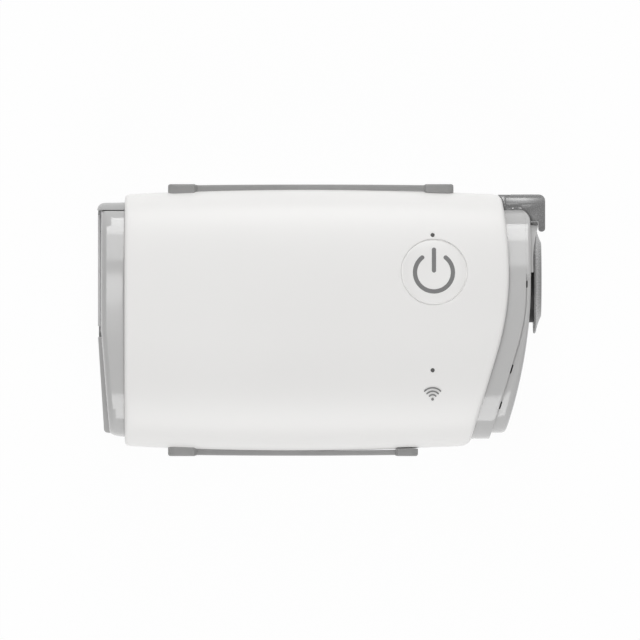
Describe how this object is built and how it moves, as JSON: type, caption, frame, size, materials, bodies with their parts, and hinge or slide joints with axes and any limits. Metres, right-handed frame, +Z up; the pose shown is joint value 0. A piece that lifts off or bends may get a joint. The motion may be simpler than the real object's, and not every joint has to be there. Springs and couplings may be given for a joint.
{
  "type": "cpap machine",
  "caption": "Travel-size positive airway pressure machine: barrel-shaped white housing with a filter end, an air outlet with a hook, a start button and side grips.",
  "frame": {"origin": "on the surface the machine stands on, under the middle of its outer box", "axes": "+X runs from the filter end to the air outlet, +Y to the back where the hook is, +Z up through the face with the start button"},
  "size_m": [0.1364, 0.0828, 0.052],
  "materials": {
    "white_shell": "smooth satin white plastic",
    "button_white": "smooth satin white plastic",
    "light_grey": "glossy light-grey plastic",
    "dark_grey": "satin dark-grey plastic",
    "grip_rubber": "matt grey soft rubber",
    "foot_rubber": "matt grey rubber",
    "seal_rubber": "black rubber",
    "clear_rubber": "milky silicone tube",
    "black_plastic": "matt black plastic",
    "contact_brass": "plated contact",
    "filter_felt": "fine white filter felt",
    "foam": "open-cell sound-damping foam",
    "lens": "smoked light pipe, unlit",
    "led_plastic": "small light-emitting diode",
    "board_green": "green solder resist",
    "duct_plastic": "natural moulded plastic",
    "housing_grey": "grey moulded plastic",
    "steel": "plain steel",
    "magnet": "dark sintered magnet",
    "lamination": "stacked motor laminations",
    "copper": "enamelled copper wire",
    "can_aluminium": "turned aluminium"
  },
  "bodies": {
    "housing": {"top_shell": "white_shell", "bottom_shell": "white_shell", "side_grip_back": "grip_rubber", "side_grip_front": "grip_rubber", "rubber_feet": "foot_rubber", "inlet_frame": "dark_grey", "power_socket": "black_plastic", "power_pin": "contact_brass", "outlet_frame": "light_grey", "outlet_cap": "light_grey", "outlet_seal": "seal_rubber", "outlet_collar": "dark_grey", "outlet_port": "dark_grey", "latch_bracket": "dark_grey", "latch_pin": "steel", "latch_spring": "steel", "button_switch": "steel", "status_lens": "lens", "wireless_lens": "lens", "led_chips": "led_plastic", "circuit_board": "board_green", "board_chips": "black_plastic", "board_screws": "steel", "shell_screws": "steel", "pressure_sensor": "duct_plastic", "sense_tube": "clear_rubber", "outlet_duct": "duct_plastic", "volute_lower": "housing_grey", "volute_upper": "housing_grey", "motor_stator": "lamination", "motor_windings": "copper", "motor_bearings": "steel", "motor_can": "can_aluminium", "blower_grommets": "seal_rubber", "blower_screws": "steel", "muffler_foam": "foam"},
    "cover": {"filter_cover": "light_grey", "filter_pad": "filter_felt"},
    "button": {"start_button": "button_white", "switch_plunger": "black_plastic"},
    "rotor": {"impeller": "duct_plastic", "motor_shaft": "steel", "motor_magnet": "magnet"},
    "hook": {"outlet_latch": "dark_grey"}
  },
  "joints": [
    {"name": "cover_pull", "type": "slide", "parent": "housing", "child": "cover", "axis": [-1, 0, 0], "range_m": [0, 0.025]},
    {"name": "button_press", "type": "slide", "parent": "housing", "child": "button", "axis": [0, 0, -1], "range_m": [0, 0.0007], "stiffness_N_per_m": 2500},
    {"name": "rotor_spin", "type": "hinge", "parent": "housing", "child": "rotor", "pos_m": [-0.012, -0.0086, 0.0268], "axis": [0, 0, 1], "continuous": true},
    {"name": "hook_swing", "type": "hinge", "parent": "housing", "child": "hook", "pos_m": [0.0582, 0.03625, 0.0268], "axis": [0, 0, 1], "range_deg": [0, 25], "stiffness_Nm_per_rad": 0.04}
  ]
}
